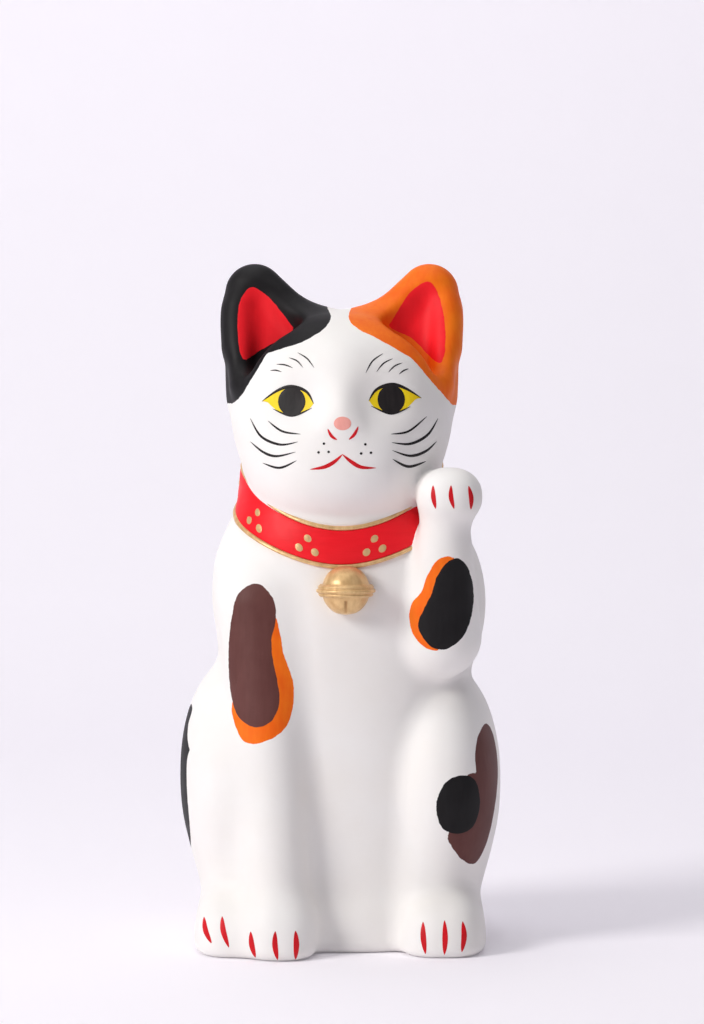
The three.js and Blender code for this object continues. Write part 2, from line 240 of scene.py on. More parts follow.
def gradient(field, points, step=0.05):
    p = tuple(points.T)
    here = field(p)
    columns = []
    for axis in range(3):
        q = list(p)
        q[axis] = q[axis] + step
        columns.append((field(tuple(q)) - here) / step)
    return here, np.stack(columns, 1)


def settle(field, points, reach, rounds=3):
    """Moves points onto the surface where the field equals zero."""
    for _ in range(rounds):
        value, slope = gradient(field, points)
        steep = np.maximum((slope * slope).sum(1), 0.05)
        shift = -(value / steep)[:, None] * slope
        length = np.linalg.norm(shift, axis=1, keepdims=True)
        points = points + shift * np.minimum(1, reach / np.maximum(length, 1e-9))
    return points


def sampled(field, axes, cell):
    """The field on a grid, worked out exactly near its surface only."""
    coarse = 4
    rough_axes = [a[::coarse] if (len(a) - 1) % coarse == 0 else np.append(a[::coarse], a[-1])
                  for a in axes]
    rough = field(np.meshgrid(*rough_axes, indexing="ij"))
    value = rough
    for axis in range(3):
        at = np.searchsorted(rough_axes[axis], axes[axis], side="right") - 1
        at = np.clip(at, 0, len(rough_axes[axis]) - 2)
        t = (axes[axis] - rough_axes[axis][at]) / np.diff(rough_axes[axis])[at]
        shape = [1, 1, 1]
        shape[axis] = -1
        t = t.reshape(shape)
        value = np.take(value, at, axis) * (1 - t) + np.take(value, at + 1, axis) * t
    near = np.abs(value) < 1.2 * coarse * cell
    i, j, k = np.nonzero(near)
    value[near] = field((axes[0][i], axes[1][j], axes[2][k]))
    return value


def skin(field, low, high, cell):
    """Closed quad surface of a field: one vertex in each grid cell that it passes through."""
    count = [int(math.ceil((high[i] - low[i]) / cell)) + 1 for i in range(3)]
    axes = [low[i] + cell * np.arange(count[i]) for i in range(3)]
    value = sampled(field, axes, cell)
    inside = value < 0
    cells = tuple(n - 1 for n in count)
    crossings = np.zeros(cells)
    total = np.zeros(cells + (3,))

    def corner(offset):
        return tuple(slice(offset[i], count[i] - 1 + offset[i]) for i in range(3))

    for axis in range(3):
        for first in range(2):
            for second in range(2):
                start = [0, 0, 0]
                start[(axis + 1) % 3] = first
                start[(axis + 2) % 3] = second
                end = list(start)
                end[axis] = 1
                a, b = value[corner(start)], value[corner(end)]
                crossed = (a < 0) != (b < 0)
                t = np.where(crossed, a / np.where(crossed, a - b, 1), 0)
                crossings += crossed
                for i in range(3):
                    total[..., i] += crossed * (start[i] + (t if i == axis else 0))
    active = crossings > 0
    number = np.full(cells, -1)
    number[active] = np.arange(active.sum())
    points = np.array(low) + cell * (np.argwhere(active) + total[active] / crossings[active][:, None])
    quads = []
    for axis in range(3):
        u, v = (axis + 1) % 3, (axis + 2) % 3
        below = [slice(None)] * 3
        above = [slice(None)] * 3
        below[axis] = slice(0, count[axis] - 1)
        above[axis] = slice(1, count[axis])
        edge = np.argwhere(inside[tuple(below)] != inside[tuple(above)])
        keep = ((edge[:, u] > 0) & (edge[:, v] > 0)
                & (edge[:, u] < count[u] - 1) & (edge[:, v] < count[v] - 1))
        edge = edge[keep]
        corners = []
        for du, dv in ((1, 1), (0, 1), (0, 0), (1, 0)):
            at = edge.copy()
            at[:, u] -= du
            at[:, v] -= dv
            corners.append(number[at[:, 0], at[:, 1], at[:, 2]])
        quad = np.stack(corners, 1)
        flip = ~inside[edge[:, 0], edge[:, 1], edge[:, 2]]
        quad[flip] = quad[flip][:, ::-1]
        quads.append(quad)
    return settle(field, points, cell / 2), np.concatenate(quads)


def mesh_object(name, points, faces):
    """Object from points in millimetres."""
    mesh = bpy.data.meshes.new(name)
    mesh.from_pydata((np.asarray(points) * MM).tolist(), [], [list(map(int, f)) for f in faces])
    mesh.validate()
    obj = bpy.data.objects.new(name, mesh)
    bpy.context.scene.collection.objects.link(obj)
    return obj


def baked(obj):
    """Applies the object's modifiers."""
    bpy.context.view_layer.update()
    evaluated = obj.evaluated_get(bpy.context.evaluated_depsgraph_get())
    mesh = bpy.data.meshes.new_from_object(evaluated)
    obj.modifiers.clear()
    obj.data = mesh
    return obj


def carve(obj, other, operation="DIFFERENCE"):
    """Boolean cut or join with another closed object."""
    cut = obj.modifiers.new("cut", "BOOLEAN")
    cut.operation = operation
    cut.solver = "MANIFOLD"
    cut.object = other
    return baked(obj)


def copy_of(obj, name):
    twin = bpy.data.objects.new(name, obj.data.copy())
    bpy.context.scene.collection.objects.link(twin)
    return twin


def drop(*objects):
    for obj in objects:
        bpy.data.objects.remove(obj)


def block(name, low, high):
    corners = [(x, y, z) for x in (low[0], high[0]) for y in (low[1], high[1])
               for z in (low[2], high[2])]
    faces = ((0, 1, 3, 2), (4, 6, 7, 5), (0, 4, 5, 1), (2, 3, 7, 6), (0, 2, 6, 4), (1, 5, 7, 3))
    return mesh_object(name, corners, faces)


def points_of(mesh):
    co = np.empty(len(mesh.vertices) * 3)
    mesh.vertices.foreach_get("co", co)
    return co.reshape(-1, 3) / MM


def shade_like(obj, field):
    """Smooth shading that follows the field on its surface and stays flat on cut faces."""
    mesh = obj.data
    mesh.shade_smooth()
    points = points_of(mesh)
    value, slope = gradient(field, points)
    slope /= np.maximum(np.linalg.norm(slope, axis=1, keepdims=True), 1e-9)
    loops = np.empty(len(mesh.loops), int)
    mesh.loops.foreach_get("vertex_index", loops)
    face_normals = np.empty(len(mesh.polygons) * 3)
    mesh.polygons.foreach_get("normal", face_normals)
    sizes = np.empty(len(mesh.polygons), int)
    mesh.polygons.foreach_get("loop_total", sizes)
    flat = np.repeat(face_normals.reshape(-1, 3), sizes, axis=0)
    curved = slope[loops]
    on_skin = (np.abs(value[loops]) < 0.08) & ((curved * flat).sum(1) > 0.6)
    mesh.normals_split_custom_set(np.where(on_skin[:, None], curved, flat).tolist())
    return obj


# ------------------------------------------------------------------ outlines and paint

def spline(points, closed=True, steps=10):
    """Smooth line through points; a point with a third value is a corner."""
    at = np.array([p[:2] for p in points], float)
    soft = np.array([0.0 if len(p) > 2 else 1.0 for p in points])[:, None]
    if closed:
        before, after = np.roll(at, 1, 0), np.roll(at, -1, 0)
        spans = range(len(at))
    else:
        before, after = np.vstack([at[:1], at[:-1]]), np.vstack([at[1:], at[-1:]])
        spans = range(len(at) - 1)
    lean = (after - before) / 2 * soft
    t = np.linspace(0, 1, steps, endpoint=False)[:, None]
    pieces = []
    for i in spans:
        j = (i + 1) % len(at)
        pieces.append((2 * t**3 - 3 * t**2 + 1) * at[i] + (t**3 - 2 * t**2 + t) * lean[i]
                      + (3 * t**2 - 2 * t**3) * at[j] + (t**3 - t**2) * lean[j])
    if not closed:
        pieces.append(at[-1:])
    return np.concatenate(pieces)


def outline_distance(u, v, outline):
    """Distance to a closed outline, negative inside it."""
    nearest = np.full(len(u), np.inf)
    inside = np.zeros(len(u), bool)
    for a, b in zip(outline, np.roll(outline, -1, 0)):
        edge = b - a
        t = np.clip(((u - a[0]) * edge[0] + (v - a[1]) * edge[1]) / (edge @ edge + 1e-12), 0, 1)
        nearest = np.minimum(nearest, np.hypot(u - a[0] - t * edge[0], v - a[1] - t * edge[1]))
        straddles = (a[1] > v) != (b[1] > v)
        rise = edge[1] if abs(edge[1]) > 1e-12 else 1e-12
        inside ^= straddles & (u < a[0] + (v - a[1]) / rise * edge[0])
    return np.where(inside, -nearest, nearest)


def seen_from(points, azimuth):
    """Across, up and towards-the-viewer coordinates from an azimuth round the figure."""
    a = math.radians(azimuth)
    across = points[:, 0] * math.cos(a) + points[:, 1] * math.sin(a)
    towards = points[:, 0] * math.sin(a) - points[:, 1] * math.cos(a)
    return across, points[:, 2], towards


# Patches of colour: azimuth they are drawn from, least distance towards the viewer, outline.
PATCHES = {
    "black": [
        (0, -100, [(-47.5, 238.5, 0), (-43.7, 241.7), (-38.9, 249), (-32, 260.2, 0), (-19.1, 264.1),
                   (-12.1, 267.5), (-7.5, 270.8), (-4.7, 275.5), (-6.5, 281), (-9, 290, 0),
                   (-9, 320, 0), (-80, 320, 0), (-80, 250, 0), (-55, 238.5, 0)]),
        (0, 32, [(49.6, 172), (54, 168.5), (56.8, 158.8), (56.3, 148), (52.3, 138), (44.7, 132.7),
                 (37.8, 134.4), (32.9, 142.3), (35, 149.2), (38.6, 156.7), (40.8, 163.7),
                 (44.6, 169.7)]),
        (30, 20, [(20.5, 78.2), (13.5, 75.5), (10, 66), (13, 55.5), (20.5, 52.8), (28, 56),
                  (31, 65.5), (27.5, 75.6)]),
        (-70, 20, [(-7, 104), (-5.7, 97), (-1, 91), (4.2, 87.1, 0), (1.6, 82), (2.3, 69.4), (0.8, 56),
                   (-8, 45), (-22, 40), (-35, 48), (-39, 66), (-34, 88), (-20, 104)]),
        (180, 10, [(-30, 176), (-12, 180), (0, 170), (-2, 152), (-12, 138), (-26, 134), (-35, 144),
                   (-36, 162)]),
    ],
    "orange": [
        (180, 10, [(30, 134), (13, 128.5), (2.5, 110), (4.5, 86), (17, 67), (35, 63.5), (46, 76),
                   (43, 86, 0), (40, 112, 0), (36, 128, 0)]),
        (0, -100, [(3.6, 279, 0), (3, 275.7), (4.6, 272.6), (8.6, 269.6), (16.5, 265.7), (25.4, 260.6),
                   (31, 256.9), (39.5, 247.1), (48.3, 237.8, 0), (60, 238, 0), (80, 250, 0),
                   (80, 320, 0), (8, 320, 0), (8, 288, 0)]),
        (0, 20, [(-28.2, 146.5, 0), (-26.4, 138.5), (-24.9, 130), (-22.2, 122.8), (-20.7, 116.7),
                 (-21, 108.2), (-23.6, 99.9), (-28.8, 95.1), (-37, 92.2), (-42.5, 93.4), (-45.6, 99),
                 (-47.5, 108), (-43, 125, 0), (-36, 140, 0)]),
        (0, 32, [(49, 172.4, 0), (45, 172.8), (40.8, 171), (36.4, 163.7), (34.4, 157.5), (30.6, 152.8),
                 (29.1, 147.5), (30.4, 139.9), (35.3, 133.7), (41.5, 132, 0), (44, 140, 0),
                 (42, 160, 0)]),
    ],
    "brown": [
        (180, 10, [(30, 128), (16, 124), (8, 108), (10, 88), (20, 72), (34, 70), (42, 84), (43, 106),
                   (39, 122)]),
        (0, 20, [(-37.7, 160.8), (-43.1, 158), (-45.9, 153.4), (-47.7, 144.9), (-48.9, 134.5),
                 (-48.9, 123.6), (-48.3, 115.3), (-46.4, 107.1), (-43.6, 102.5), (-37.5, 99.3),
                 (-30.9, 101.4), (-27.6, 106.7), (-26.8, 112.6), (-27.9, 119.9), (-29.9, 130),
                 (-30.2, 137), (-28.7, 144), (-28.4, 150), (-30, 155.1), (-33.4, 159.3)]),
        (50, 20, [(20.5, 98.5), (10, 94.5), (4.5, 86.5), (4, 78.5, 0), (-2, 77.5), (-5, 65), (-7.4, 53),
                  (-4.5, 47.2), (1, 41.5), (8, 38.2), (14, 39), (19.5, 47), (23, 60), (28.5, 74),
                  (30, 84), (27.5, 94)]),
    ],
    "red": [
        (0, 4, [(-39.6, 289.4), (-43.2, 286.2), (-45.1, 281), (-45.6, 273.4), (-45.1, 265.3),
                (-44.1, 260), (-42.3, 256.8, 0), (-36.2, 261.4), (-30, 264.9), (-23.4, 268.8),
                (-21, 271, 0), (-25.8, 277.6), (-30.6, 283.4), (-34.8, 287.2)]),
        (0, 4, [(38.2, 292), (34.4, 290.7), (30.6, 287.9), (26.8, 282.9), (23.4, 277.1),
                (20.4, 272.4, 0), (23.6, 270.3), (28.7, 268.2), (32.5, 265.4), (37.2, 260.4),
                (40.6, 257), (43.3, 255.8, 0),
                (44.8, 260.1), (45.3, 267.7), (44.8, 275.3), (43.2, 283.4), (41, 289.3)]),
    ],
}


EAR_SIDE = {"black": -1, "orange": 1}


def paint(obj):
    """Stores, at each point, its distance in millimetres from the edge of each colour."""
    points = points_of(obj.data)
    for colour, patches in PATCHES.items():
        edge = np.full(len(points), 6.0)
        for azimuth, least, outline in patches:
            across, up, towards = seen_from(points, azimuth)
            distance = outline_distance(across, up, spline(outline))
            edge = np.minimum(edge, np.where(towards > least, distance, 6.0))
        if colour in EAR_SIDE:  # the whole bowl of the ear, also where the cheek hides it
            place = mirrored(tuple(points.T), EAR_SIDE[colour])
            in_bowl = np.abs(ear_bowl(place)) - 0.8
            edge = np.minimum(edge, np.where(place[0] > 0, in_bowl, 6.0))
        layer = obj.data.attributes.new("edge_" + colour, "FLOAT", "POINT")
        layer.data.foreach_set("value", np.clip(edge, -6, 6).astype(np.float32))
    return obj


# ------------------------------------------------------------------ materials

def shader(name):
    material = bpy.data.materials.new(name)
    material.use_nodes = True
    nodes = material.node_tree.nodes
    links = material.node_tree.links
    return material, nodes, links, nodes["Principled BSDF"]


def node(nodes, links, kind, inputs=(), **settings):
    """Adds a node; an input is a value or another node's socket."""
    made = nodes.new(kind)
    for key, value in settings.items():
        setattr(made, key, value)
    for key, value in dict(inputs).items():
        if isinstance(value, bpy.types.NodeSocket):
            links.new(value, made.inputs[key])
        else:
            made.inputs[key].default_value = value
    return made


def noise(nodes, links, place, scale, detail=3.0, roughness=0.55):
    made = node(nodes, links, "ShaderNodeTexNoise",
                {"Vector": place, "Scale": scale, "Detail": detail, "Roughness": roughness})
    return made.outputs["Fac"]


def ramp(nodes, links, value, low, high, out_low=0.0, out_high=1.0):
    return node(nodes, links, "ShaderNodeMapRange",
                {"Value": value, "From Min": low, "From Max": high,
                 "To Min": out_low, "To Max": out_high}).outputs["Result"]


def mix(nodes, links, factor, a, b):
    made = nodes.new("ShaderNodeMix")
    made.data_type = "RGBA"
    for key, value in ((0, factor), (6, a), (7, b)):
        if isinstance(value, bpy.types.NodeSocket):
            links.new(value, made.inputs[key])
        else:
            made.inputs[key].default_value = value
    return made.outputs[2]


def maths(nodes, links, operation, a, b):
    return node(nodes, links, "ShaderNodeMath", {0: a, 1: b}, operation=operation).outputs[0]


WHITE = (0.88, 0.862, 0.84, 1)
WARM_WHITE = (0.86, 0.83, 0.795, 1)
PAINT = {
    "orange": ((0.95, 0.20, 0.006, 1), (0.88, 0.13, 0.003, 1)),
    "brown": ((0.135, 0.050, 0.044, 1), (0.110, 0.038, 0.033, 1)),
    "black": ((0.010, 0.009, 0.010, 1), (0.006, 0.005, 0.006, 1)),
    "red": ((0.92, 0.012, 0.022, 1), (0.84, 0.009, 0.017, 1)),
}


def painted_clay():
    """Matt white paint on fired clay, with patches of other colours brushed over it."""
    material, nodes, links, out = shader("painted_clay")
    place = nodes.new("ShaderNodeTexCoord").outputs["Object"]
    mottle = noise(nodes, links, place, 28, 4)
    grain = noise(nodes, links, place, 900, 2)
    strokes = node(nodes, links, "ShaderNodeMapping", {"Vector": place, "Scale": (520, 520, 60)})
    stroke = noise(nodes, links, strokes.outputs[0], 1, 3)
    colour = mix(nodes, links, ramp(nodes, links, mottle, 0.35, 0.75), WHITE, WARM_WHITE)
    uneven = maths(nodes, links, "ADD", maths(nodes, links, "MULTIPLY", stroke, 0.35),
                   maths(nodes, links, "MULTIPLY", noise(nodes, links, place, 75, 3), 0.65))
    wobble = maths(nodes, links, "MULTIPLY",
                   maths(nodes, links, "SUBTRACT", noise(nodes, links, place, 330, 2), 0.5), 0.7)
    height = maths(nodes, links, "MULTIPLY", grain, 0.10)
    height = maths(nodes, links, "ADD", height, maths(nodes, links, "MULTIPLY", stroke, 0.10))
    rough = ramp(nodes, links, mottle, 0.3, 0.7, 0.5, 0.6)
    out.inputs["Specular IOR Level"].default_value = 0.2
    for name, (light, dark) in PAINT.items():
        edge = node(nodes, links, "ShaderNodeAttribute", attribute_name="edge_" + name)
        distance = maths(nodes, links, "ADD", edge.outputs["Fac"], wobble)
        cover = ramp(nodes, links, distance, 0.07, -0.07)
        tone = mix(nodes, links, ramp(nodes, links, uneven, 0.35, 0.65), light, dark)
        colour = mix(nodes, links, cover, colour, tone)
        height = maths(nodes, links, "ADD", height, maths(nodes, links, "MULTIPLY", cover, 0.35))
    links.new(colour, out.inputs["Base Color"])
    links.new(rough, out.inputs["Roughness"])
    bump = node(nodes, links, "ShaderNodeBump",
                {"Height": height, "Distance": 0.00025, "Strength": 0.5})
    links.new(bump.outputs[0], out.inputs["Normal"])
    return material


def brushed(name, light, dark, roughness=0.45, metallic=0.0, streak=(400, 400, 60), wear=None,
            specular=0.2):
    """A brushed coat of one paint, streaky and a little uneven."""
    material, nodes, links, out = shader(name)
    place = nodes.new("ShaderNodeTexCoord").outputs["Object"]
    strokes = node(nodes, links, "ShaderNodeMapping", {"Vector": place, "Scale": streak})
    stroke = noise(nodes, links, strokes.outputs[0], 1, 4, 0.6)
    mottle = noise(nodes, links, place, 120, 3)
    colour = mix(nodes, links, ramp(nodes, links, stroke, 0.3, 0.7), light, dark)
    if wear:
        colour = mix(nodes, links, ramp(nodes, links, mottle, 0.62, 0.78, 0, 0.5), colour, wear)
    links.new(colour, out.inputs["Base Color"])
    links.new(ramp(nodes, links, mottle, 0.3, 0.7, roughness - 0.06, roughness + 0.08),
              out.inputs["Roughness"])
    out.inputs["Metallic"].default_value = metallic
    out.inputs["Specular IOR Level"].default_value = specular
    height = maths(nodes, links, "ADD", stroke, maths(nodes, links, "MULTIPLY", mottle, 0.6))
    bump = node(nodes, links, "ShaderNodeBump",
                {"Height": height, "Distance": 0.0002, "Strength": 0.5})
    links.new(bump.outputs[0], out.inputs["Normal"])
    return material


def bare_clay():
    """Fired clay with fine grog and dark specks."""
    material, nodes, links, out = shader("bare_clay")
    place = nodes.new("ShaderNodeTexCoord").outputs["Object"]
    tone = noise(nodes, links, place, 40, 5)
    grog = noise(nodes, links, place, 1400, 2)
    colour = mix(nodes, links, tone, (0.56, 0.40, 0.27, 1), (0.42, 0.27, 0.17, 1))
    colour = mix(nodes, links, ramp(nodes, links, grog, 0.66, 0.72), colour, (0.16, 0.10, 0.07, 1))
    links.new(colour, out.inputs["Base Color"])
    links.new(ramp(nodes, links, tone, 0.3, 0.7, 0.8, 0.95), out.inputs["Roughness"])
    bump = node(nodes, links, "ShaderNodeBump",
                {"Height": grog, "Distance": 0.0003, "Strength": 0.7})
    links.new(bump.outputs[0], out.inputs["Normal"])
    return material


def soft_rubber():
    material, nodes, links, out = shader("soft_rubber")
    place = nodes.new("ShaderNodeTexCoord").outputs["Object"]
    tone = noise(nodes, links, place, 90, 4)
    fine = noise(nodes, links, place, 1800, 2)
    links.new(mix(nodes, links, tone, (0.72, 0.69, 0.62, 1), (0.60, 0.56, 0.48, 1)),
              out.inputs["Base Color"])
    links.new(ramp(nodes, links, fine, 0.3, 0.7, 0.55, 0.75), out.inputs["Roughness"])
    bump = node(nodes, links, "ShaderNodeBump",
                {"Height": fine, "Distance": 0.0001, "Strength": 0.5})
    links.new(bump.outputs[0], out.inputs["Normal"])
    return material


CLAY = painted_clay()
BARE = bare_clay()
RUBBER = soft_rubber()
BLACK_INK = brushed("black_ink", (0.012, 0.010, 0.011, 1), (0.022, 0.018, 0.018, 1), 0.42)
RED_INK = brushed("red_ink", (0.72, 0.008, 0.016, 1), (0.52, 0.005, 0.010, 1), 0.45)
YELLOW_INK = brushed("yellow_ink", (0.95, 0.72, 0.015, 1), (0.86, 0.60, 0.01, 1), 0.42)
PINK_INK = brushed("pink_ink", (0.92, 0.42, 0.36, 1), (0.86, 0.35, 0.30, 1), 0.5)
COLLAR_RED = brushed("collar_red", (0.90, 0.012, 0.022, 1), (0.84, 0.009, 0.017, 1), 0.42,
                     streak=(60, 60, 500))
GOLD = brushed("gold_paint", (0.82, 0.56, 0.27, 1), (0.62, 0.38, 0.16, 1), 0.36, 0.35,
               wear=(0.60, 0.40, 0.20, 1), specular=0.5)


# ------------------------------------------------------------------ the clay pieces

LOW, HIGH = (-80, -78, -6), (80, 78, 310)


def boxed(field, low, high):
    """The field, ended by the faces of a box."""
    def ended(p):
        d = field(p)
        for i in range(3):
            d = np.maximum(d, np.maximum(low[i] - p[i], p[i] - high[i]))
        return d
    return ended


def nearer(field, low, high, name):
    """Solid that holds every place in a box that is nearer to the applied piece than to the body."""
    ended = boxed(lambda p: field(p) - body(p), low, high)
    grown = 4
    return mesh_object(name, *skin(ended, [v - grown for v in low], [v + grown for v in high], 1.6))


SLOT = ((-18.5, 22, 175.5), (18.5, 60, 180.5))


def slotted(p):
    """The outer surface with the coin slot sunk into it."""
    slot = -np.inf
    for i in range(3):
        slot = np.maximum(slot, np.maximum(SLOT[0][i] - p[i], p[i] - SLOT[1][i]))
    return smooth_max(whole(p), -slot, 1.2)


def hollow(p):
    return body(p) + WALL


def clay_piece(name, obj):
    shade_like(obj, slotted)
    paint(obj)
    obj.data.materials.clear()
    obj.data.materials.append(CLAY)
    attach(obj, "figure")
    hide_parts(name)
    return obj


outer = mesh_object("front_body", *skin(slotted, LOW, HIGH, BODY_CELL))
inner = mesh_object("inner", *skin(boxed(hollow, (-80, -78, -12), HIGH), (-80, -78, -20), HIGH,
                                   HOLLOW_CELL))
arm_zone = nearer(raised_foreleg, (8, -80, 100), (84, 10, 230), "arm_zone")
tail_zone = nearer(tail, (-12, 8, -4), (84, 78, 104), "tail_zone")
foreleg = carve(copy_of(outer, "foreleg"), arm_zone, "INTERSECT")
rump_tail = carve(copy_of(outer, "rump_tail"), tail_zone, "INTERSECT")
shell = outer
for tool in (arm_zone, tail_zone, inner):
    carve(shell, tool)
rear_space = block("rear_space", (-200, SEAM_Y, -50), (200, 200, 400))
rear = carve(copy_of(shell, "rear_body"), rear_space, "INTERSECT")
front = carve(shell, rear_space)
drop(inner, arm_zone, tail_zone, rear_space)
front = clay_piece("front_shell", front)
rear = clay_piece("rear_shell", rear)
clay_piece("raised_foreleg", foreleg)
clay_piece("tail", rump_tail)


# ------------------------------------------------------------------ painted lines

def on_body(azimuth):
    """Gives the place and normal on the body of points drawn from an azimuth."""
    a = math.radians(azimuth)
    right = np.array([math.cos(a), math.sin(a), 0])
    back = np.array([math.sin(a), -math.cos(a), 0])

    def lay(across, up):
        points = across[:, None] * right + up[:, None] * np.array([0, 0, 1]) + back * 95
        for _ in range(90):
            step = np.maximum(whole(tuple(points.T)), 0) * 0.8
            points = points - step[:, None] * back
        value, slope = gradient(whole, points)
        return points, slope / np.linalg.norm(slope, axis=1, keepdims=True)
    return lay


FRONT = on_body(0)
FILM = 0.10  # thickness of a painted line
OVER = 0.22  # thickness of paint laid over other paint
SUNK = 0.30  # depth that the underside of paint reaches into the clay


def film(lay, left, right, across=7, thick=FILM):
    """Closed film of paint between two edges, each a list of (across, up) points."""
    left, right = np.asarray(left), np.asarray(right)
    steps = len(left)
    share = np.linspace(0, 1, across)
    grid = left[:, None, :] * (1 - share[None, :, None]) + right[:, None, :] * share[None, :, None]
    flat = grid.reshape(-1, 2)
    place, normal = lay(flat[:, 0], flat[:, 1])
    crown = 0.55 + 0.45 * np.tile(np.sin(np.pi * share) ** 0.5, steps)
    top = place + normal * (thick * crown)[:, None]
    under = place - normal * SUNK
    count = steps * across
    faces = []
    for i in range(steps - 1):
        for j in range(across - 1):
            a = i * across + j
            quad = (a, a + 1, a + across + 1, a + across)
            faces.append(quad)
            faces.append(tuple(count + v for v in reversed(quad)))
    rim = ([j for j in range(across)] + [i * across + across - 1 for i in range(1, steps)]
           + [(steps - 1) * across + j for j in range(across - 2, -1, -1)]
           + [i * across for i in range(steps - 2, 0, -1)])
    for a, b in zip(rim, rim[1:] + rim[:1]):
        faces.append((b, a, count + a, count + b))
    return np.vstack([top, under]), faces


def line(points, width, lay=FRONT, blunt=0.0, thick=FILM):
    """A brush line through points, widest in its middle and pointed at its ends."""
    path = spline(points, closed=False, steps=8)
    t = np.linspace(0, 1, len(path))
    along = np.gradient(path, axis=0)
    along /= np.linalg.norm(along, axis=1, keepdims=True)
    side = np.stack([-along[:, 1], along[:, 0]], 1)
    swell = blunt + (1 - blunt) * np.sin(np.pi * np.clip(t, 0.02, 0.98)) ** 0.8
    half = (np.maximum(width * swell, 0.08) / 2)[:, None]
    return film(lay, path - side * half, path + side * half, 5, thick)


def dab(centre, radius_across, radius_up, lay=FRONT, tilt=0.0, thick=FILM):
    """A round or oval dab."""
    angle = np.linspace(0.02, math.pi - 0.02, 15)
    turn = math.radians(tilt)
    edges = []
    for sign in (1, -1):
        u = -radius_across * np.cos(angle)
        v = sign * radius_up * np.sin(angle)
        edges.append(np.stack([centre[0] + u * math.cos(turn) - v * math.sin(turn),
                               centre[1] + u * math.sin(turn) + v * math.cos(turn)], 1))
    return film(lay, edges[0], edges[1], 9, thick)


def joined(name, films, material, body_name="figure"):
    """One object from several closed films."""
    points, faces, start = [], [], 0
    for film_points, film_faces in films:
        points.append(film_points)
        faces += [tuple(v + start for v in face) for face in film_faces]
        start += len(film_points)
    obj = mesh_object(name, np.vstack(points), faces)
    bpy.context.view_layer.objects.active = obj
    obj.data.shade_smooth()
    obj.data.set_sharp_from_angle(angle=math.radians(50))
    obj.data.materials.append(material)
    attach(obj, body_name)
    return obj


def eye(side, centre, inner_tip, outer_tip):
    """Yellow almond, black pupil and lid lines; returns films by colour."""
    cx, cz = centre
    lid = [inner_tip, (cx - side * 6.5, cz + 4.0), (cx, cz + 6.2), (cx + side * 6, cz + 4.4), outer_tip]
    lower = [inner_tip, (cx - side * 6.5, cz - 3.7), (cx, cz - 5.9), (cx + side * 6, cz - 4.0),
             (outer_tip[0] - side * 2.2, outer_tip[1] - 0.2)]
    upper_edge = spline(lid, closed=False)
    lower_edge = spline(lower, closed=False)
    yellow = film(FRONT, upper_edge, lower_edge, 13)
    pupil = dab((cx, cz + 0.1), 5.9, 6.1, thick=OVER)
    upper_line = line([inner_tip, (cx - side * 6.3, cz + 4.3), (cx, cz + 6.5), (cx + side * 6, cz + 4.9),
                       (outer_tip[0], outer_tip[1])], 1.5, thick=OVER)
    lower_line = line([(cx - side * 8.6, cz - 2.7), (cx, cz - 6.0), (cx + side * 8.2, cz - 3.0)],
                      0.9, thick=OVER)
    return yellow, [pupil, upper_line, lower_line]


yellow_left, black_left = eye(-1, (-21.3, 239.2), (-11.9, 238.4), (-34.2, 239.4))
yellow_right, black_right = eye(1, (21.2, 240.1), (11.6, 239.7), (34.2, 240.8))
joined("eye_yellow", [yellow_left, yellow_right], YELLOW_INK)
joined("eye_black", black_left + black_right, BLACK_INK)
joined("nose_pink", [dab((0.4, 230), 3.7, 2.9)], PINK_INK)
joined("mouth_red", [
    line([(-5.9, 227.7), (-4.3, 224.7), (-1.9, 223.0)], 1.3),
    line([(7.1, 228.7), (5.5, 225.4), (3.1, 223.1)], 1.3),
    line([(0.5, 216.9), (-3.2, 213.6), (-7.5, 211.4), (-13.4, 210.4)], 1.7),
    line([(0.3, 216.9), (4.0, 213.8), (8.3, 211.4), (14.6, 211.0)], 1.7),
], RED_INK)
WHISKERS = [
    ([(-31.6, 231), (-25.4, 226.6), (-17.4, 225.4)], 0.9),
    ([(-39.4, 232), (-34.6, 224.3), (-26.4, 220.9), (-18.6, 222.1)], 1.1),
    ([(-39.4, 222), (-33.8, 217.6), (-27.9, 215.9), (-19.6, 217.8)], 1.1),
    ([(-34.0, 212.8), (-26.6, 210.9), (-19.2, 214.1)], 1.0),
    ([(21.0, 225.4), (28.7, 226.6), (36.6, 232.9)], 0.9),
    ([(21.4, 221.8), (29.5, 221.2), (37.0, 225.0), (41.6, 232)], 1.2),
    ([(21.7, 218.4), (29.5, 216.0), (36.2, 217.9), (41.0, 222)], 1.2),
    ([(21.8, 214.7), (28.7, 211.4), (36.4, 213.5)], 1.2),
]
BROWS = [
    [(-18.9, 260.3), (-14.8, 257.7), (-11.7, 253.7)],
    [(-22.6, 258.1), (-19.1, 256.7), (-16.5, 253.8)],
    [(-28.0, 255.3), (-24.3, 255.0), (-20.9, 253.7)],
    [(-30.7, 252.6), (-28.2, 252.7), (-25.7, 252.0)],
    [(17.8, 259.9), (13.2, 256.6), (10.3, 251.5)],
    [(21.9, 257.7), (17.9, 255.6), (14.9, 252.0)],
    [(26.0, 255.9), (22.7, 254.5), (20.0, 251.8)],
    [(28.7, 253.4), (26.5, 252.5), (24.6, 251.0)],
]
DOTS = [(-7.5, 221.4), (-9.8, 217.7), (-5.5, 217.9), (10.1, 221.1), (8.3, 217.2), (12.5, 217.5)]
joined("whiskers", [line(points, width) for points, width in WHISKERS], BLACK_INK)
joined("brow_lines", [line(points, 0.6) for points in BROWS], BLACK_INK)
joined("whisker_dots", [dab(point, 0.55, 0.55) for point in DOTS], BLACK_INK)
